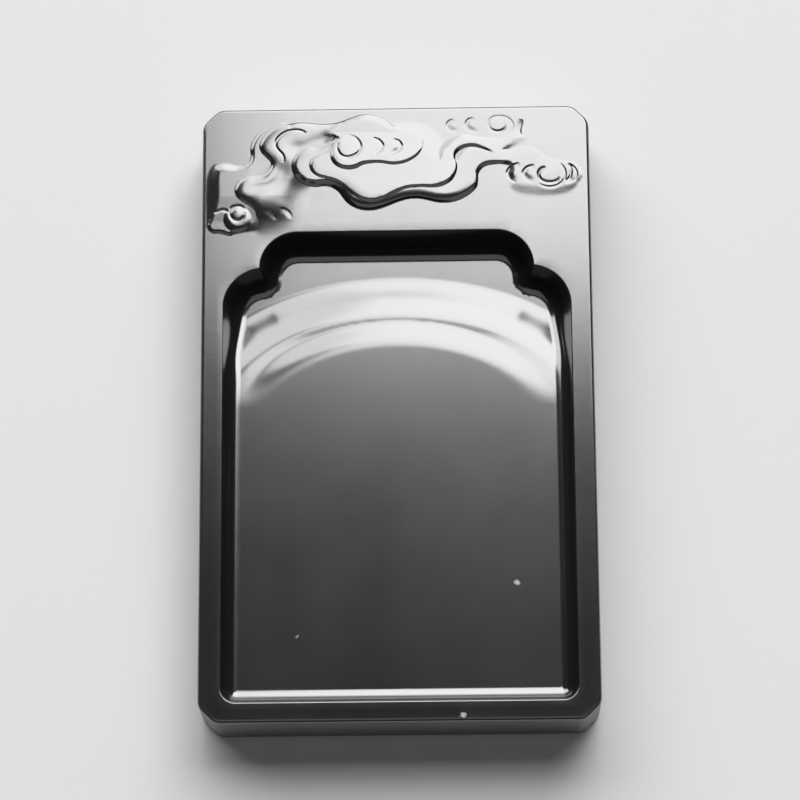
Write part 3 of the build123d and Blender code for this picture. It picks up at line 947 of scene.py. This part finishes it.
def noise_node(tree, size, detail, stretch=(1, 1, 1)):
    """Noise in the stone's own space, stretched along each axis, as its output socket."""
    place = tree.nodes.new("ShaderNodeTexCoord")
    mapping = tree.nodes.new("ShaderNodeMapping")
    mapping.inputs["Scale"].default_value = stretch
    tree.links.new(place.outputs["Object"], mapping.inputs["Vector"])
    noise = tree.nodes.new("ShaderNodeTexNoise")
    noise.inputs["Scale"].default_value = 1 / size
    noise.inputs["Detail"].default_value = detail
    noise.inputs["Roughness"].default_value = NOISE_ROUGHNESS
    tree.links.new(mapping.outputs["Vector"], noise.inputs["Vector"])
    return noise.outputs["Fac"]


def stretched(tree, value, low, high, to_low=0.0, to_high=1.0):
    """A value mapped from one range to another, as its output socket."""
    node = tree.nodes.new("ShaderNodeMapRange")
    tree.links.new(value, node.inputs["Value"])
    ends = {"From Min": low, "From Max": high, "To Min": to_low, "To Max": to_high}
    for name, number in ends.items():
        node.inputs[name].default_value = number
    return node.outputs["Result"]


def slate_grain_group():
    """The stone's own grain: fine mineral specks on broad clouded tone."""
    tree, _, results = new_group("slate_grain", [], ["Tone", "Grain"])
    fine = noise_node(tree, GRAIN_SIZE, detail=3)
    broad = noise_node(tree, CLOUDING_SIZE, detail=4, stretch=(1, 0.5, 1))
    specks = stretched(tree, fine, 0.3, 0.7)
    clouding = stretched(tree, broad, 0.35, 0.65)
    tree.links.new(blended(tree, GRAIN_SHARE, specks, clouding), results.inputs["Tone"])
    tree.links.new(fine, results.inputs["Grain"])
    return tree


def sanding_marks_group():
    """Faint lines left across the stone by the last sanding."""
    tree, _, results = new_group("sanding_marks", [], ["Marks"])
    lines = noise_node(tree, MARK_WIDTH, detail=2, stretch=(0.03, 1, 1))
    patches = noise_node(tree, MARK_PATCH_SIZE, detail=2)
    lines = stretched(tree, lines, 0.35, 0.7)
    patches = stretched(tree, patches, 0.3, 0.65, 0.3, 1)
    tree.links.new(math_node(tree, "MULTIPLY", lines, patches), results.inputs["Marks"])
    return tree


def pale_fleck_group():
    """A small pale fleck in the stone at one place, with a ragged outline."""
    inputs = [("Place", "NodeSocketVector", (0, 0, 0)), ("Size", "NodeSocketFloat", 0.0006)]
    tree, given, results = new_group("pale_fleck", inputs, ["Fleck"])
    place = tree.nodes.new("ShaderNodeTexCoord")
    gap = vector_node(tree, "SUBTRACT", place.outputs["Object"], given.outputs["Place"])
    flat = vector_node(tree, "MULTIPLY", gap.outputs["Vector"], (1, 1, 0))
    length = vector_node(tree, "LENGTH", flat.outputs["Vector"])
    ragged = noise_node(tree, FLECK_RAGGEDNESS_SIZE, detail=4)
    ragged = stretched(tree, ragged, 0.4, 0.62, 0.1, 1.8)
    reach = math_node(tree, "MULTIPLY", ragged, given.outputs["Size"])
    share = math_node(tree, "DIVIDE", length.outputs["Value"], reach)
    tree.links.new(stretched(tree, share, 0.6, 1, 1, 0), results.inputs["Fleck"])
    return tree


def wear_and_highlight_edges_group():
    """Where the edges of the face, the lip and the carving are painted lighter: partly wear from
    hands and cloths, partly painted highlight.
    """
    tree, _, results = new_group("wear_and_highlight_edges", [], ["Wear"])
    wear_and_highlight_share = tree.nodes.new("ShaderNodeAttribute")
    wear_and_highlight_share.attribute_name = "wear_and_highlight_share"
    patchy = stretched(tree, noise_node(tree, WEAR_PATCH_SIZE, detail=3), 0.3, 0.7, 0.3, 1)
    # painted highlight and wear, broken into patches
    wear_and_highlight = math_node(tree, "MULTIPLY", wear_and_highlight_share.outputs["Fac"], patchy, clamp=True)
    tree.links.new(wear_and_highlight, results.inputs["Wear"])
    return tree


def placed_group(tree, group, **values):
    """A node group placed in a material, with its own values."""
    node = tree.nodes.new("ShaderNodeGroup")
    node.node_tree = group
    for name, value in values.items():
        node.inputs[name].default_value = value
    return node


def mixed_color(tree, share, first, second):
    """A colour mixed by a mask, as its output socket."""
    node = tree.nodes.new("ShaderNodeMix")
    node.data_type = "RGBA"
    tree.links.new(share, node.inputs["Factor"])
    for socket, color in ((node.inputs["A"], first), (node.inputs["B"], second)):
        if isinstance(color, tuple):
            socket.default_value = (*color, 1)
        else:
            tree.links.new(color, socket)
    return node.outputs["Result"]


def stone_material(name, dark, light, smooth, rough, mark_height, flecks=()):
    """One finish of the stone, from the shared grain, sanding marks, flecks, and wear with painted
    highlight.
    """
    material = bpy.data.materials.new(name)
    material.use_nodes = True
    tree = material.node_tree
    shader = tree.nodes["Principled BSDF"]
    shader.inputs["IOR"].default_value = STONE_IOR
    grain = placed_group(tree, slate_grain)
    marks = placed_group(tree, sanding_marks)
    wear_and_highlight = placed_group(tree, wear_and_highlight_edges)
    color = mixed_color(tree, grain.outputs["Tone"], dark, light)
    # worn and highlit places painted lighter: partly wear, partly painted highlight
    worn_and_highlight_color = tuple(WEAR_AND_HIGHLIGHT_BRIGHTNESS * part for part in light)
    color = mixed_color(tree, wear_and_highlight.outputs["Wear"], color, worn_and_highlight_color)
    unevenness = blended(tree, TONE_SHARE, grain.outputs["Tone"], marks.outputs["Marks"])
    roughness = stretched(tree, unevenness, 0, 1, smooth, rough)
    for (across, along), size in flecks:
        fleck = placed_group(tree, pale_fleck, Place=(across, along, 0), Size=size)
        color = mixed_color(tree, fleck.outputs["Fleck"], color, FLECK_COLOR)
        dull = math_node(tree, "MULTIPLY", fleck.outputs["Fleck"], FLECK_ROUGHNESS)
        roughness = math_node(tree, "MAXIMUM", roughness, dull)
    tree.links.new(color, shader.inputs["Base Color"])
    tree.links.new(roughness, shader.inputs["Roughness"])
    height = math_node(tree, "ADD", marks.outputs["Marks"], grain.outputs["Grain"])
    bump = tree.nodes.new("ShaderNodeBump")
    bump.inputs["Distance"].default_value = mark_height
    tree.links.new(height, bump.inputs["Height"])
    tree.links.new(bump.outputs["Normal"], shader.inputs["Normal"])
    return material


def plain_material(name, color, roughness):
    """An even material of one colour."""
    material = bpy.data.materials.new(name)
    material.use_nodes = True
    shader = material.node_tree.nodes["Principled BSDF"]
    shader.inputs["Base Color"].default_value = (*color, 1)
    shader.inputs["Roughness"].default_value = roughness
    return material


slate_grain = slate_grain_group()
sanding_marks = sanding_marks_group()
pale_fleck = pale_fleck_group()
wear_and_highlight_edges = wear_and_highlight_edges_group()
stone = carved_stone()
finishes = (
    stone_material(
        "sanded_face", SLATE_DARK, SLATE_LIGHT, smooth=.12, rough=.155,
        mark_height=.0000015, flecks=FACE_FLECKS,
    ),
    stone_material(
        "ground_floor", SLATE_DARK, SLATE_LIGHT, smooth=.145, rough=.185,
        mark_height=.000001, flecks=FLOOR_FLECKS,
    ),
    stone_material("sawn_side", SAWN_DARK, SAWN_LIGHT, smooth=.4, rough=.55, mark_height=.00001),
)
for material in finishes:
    stone.data.materials.append(material)
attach(stone, "root")
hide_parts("stone")

# The floor
FLOOR_REACH = 4
PAPER_COLOR = (.7, .7, .7)
PAPER_ROUGHNESS = .8
floor_corners = ((-1, -1, 0), (1, -1, 0), (1, 1, 0), (-1, 1, 0))
floor_mesh = bpy.data.meshes.new("studio_floor")
floor_mesh.from_pydata([FLOOR_REACH * Vector(corner) for corner in floor_corners], [], [range(4)])
floor_mesh.materials.append(plain_material("pale_paper", PAPER_COLOR, PAPER_ROUGHNESS))
studio_floor = bpy.data.objects.new("studio_floor", floor_mesh)
bpy.context.scene.collection.objects.link(studio_floor)

# The lights
LAMP_DISTANCE = 6
# Each lamp's lowest and highest tilt and its left and right turn, in degrees, and its radiance.
# A tilt of 0 is straight above the stone, and a tilt of 90 level behind its head end
LAMPS = (
    ("softbox", 17.8, 72, -5.2, 32, 5.4),
    ("left_panel", 28, 72, -45, -5.2, 3.9),
    ("back_wall_glow", 72, 85, -10, 36, 2.5),
    ("front_fill", -38, 3, -25, 30, 0.38),
)


def lamp(name, low_tilt, high_tilt, left_turn, right_turn, radiance):
    """A far rectangular lamp that fills these angles, as seen from the stone."""
    tilt = radians(low_tilt + high_tilt) / 2
    left, right = (LAMP_DISTANCE * tan(radians(turn)) for turn in (left_turn, right_turn))
    across = Vector((1, 0, 0))
    back = Vector((0, sin(tilt), cos(tilt)))
    place = LAMP_DISTANCE * back + (left + right) / 2 * across
    light = bpy.data.lights.new(name, "AREA")
    light.shape = "RECTANGLE"
    light.size = right - left
    light.size_y = 2 * LAMP_DISTANCE * tan(radians(high_tilt - low_tilt) / 2)
    light.energy = radiance * pi * light.size * light.size_y
    lamp_object = bpy.data.objects.new(name, light)
    turned = Matrix((across, back.cross(across), back)).transposed().to_4x4()
    lamp_object.matrix_world = Matrix.Translation(place) @ turned
    bpy.context.scene.collection.objects.link(lamp_object)


for lamp_values in LAMPS:
    lamp(*lamp_values)
world = bpy.data.worlds.new("studio")
bpy.context.scene.world = world
world.use_nodes = True
world_tree = world.node_tree
background = world_tree.nodes["Background"]
background.inputs["Color"].default_value = (1, 1, 1, 1)
camera_ray = world_tree.nodes.new("ShaderNodeLightPath").outputs["Is Camera Ray"]
glow = stretched(world_tree, camera_ray, 0, 1, ROOM_GLOW, BACKDROP_GLOW)
world_tree.links.new(glow, background.inputs["Strength"])

# The camera
CAMERA_ELEVATION = radians(73.905)
CAMERA_AZIMUTH = radians(3.797)
CAMERA_ROLL = radians(-0.4045)
CAMERA_TARGET = Vector((0.000869, 0.00217, STONE_THICKNESS))
CAMERA_DISTANCE = 1.1
SENSOR_WIDTH = 36
LENS = 150.43
camera_data = bpy.data.cameras.new("camera")
camera_data.sensor_width = SENSOR_WIDTH
camera_data.lens = LENS
camera = bpy.data.objects.new("camera", camera_data)
bpy.context.scene.collection.objects.link(camera)
level_reach = cos(CAMERA_ELEVATION)
back_x, back_y = sin(CAMERA_AZIMUTH) * level_reach, -cos(CAMERA_AZIMUTH) * level_reach
back = Vector((back_x, back_y, sin(CAMERA_ELEVATION)))
across = Vector((0, 1, 0)).cross(back).normalized()
turn = Matrix((across, back.cross(across), back)).transposed()
turn = turn @ Matrix.Rotation(CAMERA_ROLL, 3, "Z")
camera.matrix_world = Matrix.Translation(CAMERA_TARGET + CAMERA_DISTANCE * back) @ turn.to_4x4()
bpy.context.scene.camera = camera
bpy.context.scene.view_settings.view_transform = "Standard"
